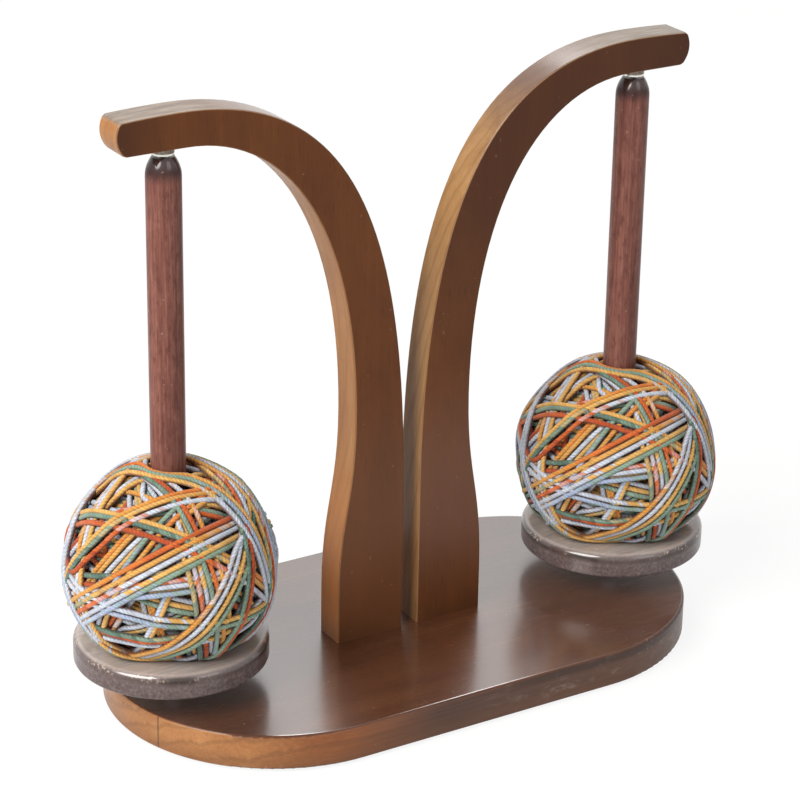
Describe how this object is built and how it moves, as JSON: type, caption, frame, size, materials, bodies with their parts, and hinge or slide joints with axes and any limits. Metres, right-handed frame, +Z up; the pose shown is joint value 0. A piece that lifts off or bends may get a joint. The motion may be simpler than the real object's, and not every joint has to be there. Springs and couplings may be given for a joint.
{
  "type": "rotating yarn holder",
  "caption": "Wooden desk stand whose bent arms hold hanging spindles by magnets. Each spindle spins freely, and its disc carries a ball of yarn so that it unwinds without tangling.",
  "frame": {"origin": "under the middle of the base board, at the level of the surface that its pads stand on", "axes": "+X along the board towards the right-hand spindle, +Y to the back, +Z up along the spindles"},
  "size_m": [0.3436, 0.163, 0.293],
  "materials": {
    "board_wood": "dark walnut stain under satin lacquer",
    "arm_wood": "dark walnut stain under satin lacquer, eased edges",
    "rod_wood": "turned dowel, reddish brown stain, satin",
    "disc_wood": "turned disc, grey brown stain, satin",
    "magnet_nickel": "nickel plated",
    "ball_steel": "polished bearing steel",
    "screw_steel": "zinc plated",
    "pad_rubber": "matt",
    "yarn": "soft variegated yarn in orange, gold, pale blue and sage"
  },
  "bodies": {
    "stand": {"base_board": "board_wood", "front_left_pad": "pad_rubber", "front_right_pad": "pad_rubber", "back_left_pad": "pad_rubber", "back_right_pad": "pad_rubber", "left_arm": "arm_wood", "right_arm": "arm_wood", "left_arm_screws": "screw_steel", "right_arm_screws": "screw_steel", "left_magnet": "magnet_nickel", "right_magnet": "magnet_nickel"},
    "left_pivot": {"left_pivot_ball": "ball_steel"},
    "left_spindle": {"left_rod": "rod_wood", "left_disc": "disc_wood", "left_disc_screw": "screw_steel", "left_yarn_core": "yarn", "left_yarn_winding": "yarn"},
    "right_pivot": {"right_pivot_ball": "ball_steel"},
    "right_spindle": {"right_rod": "rod_wood", "right_disc": "disc_wood", "right_disc_screw": "screw_steel", "right_yarn_core": "yarn", "right_yarn_winding": "yarn"}
  },
  "joints": [
    {"name": "left_pull_off", "type": "slide", "parent": "stand", "child": "left_pivot", "axis": [0, 0, 1], "range_m": [-0.011, 0]},
    {"name": "left_spin", "type": "hinge", "parent": "left_pivot", "child": "left_spindle", "pos_m": [-0.1234, 0, 0.2], "axis": [0, 0, 1], "continuous": true},
    {"name": "right_pull_off", "type": "slide", "parent": "stand", "child": "right_pivot", "axis": [0, 0, 1], "range_m": [-0.011, 0]},
    {"name": "right_spin", "type": "hinge", "parent": "right_pivot", "child": "right_spindle", "pos_m": [0.1234, 0, 0.2], "axis": [0, 0, 1], "continuous": true}
  ]
}
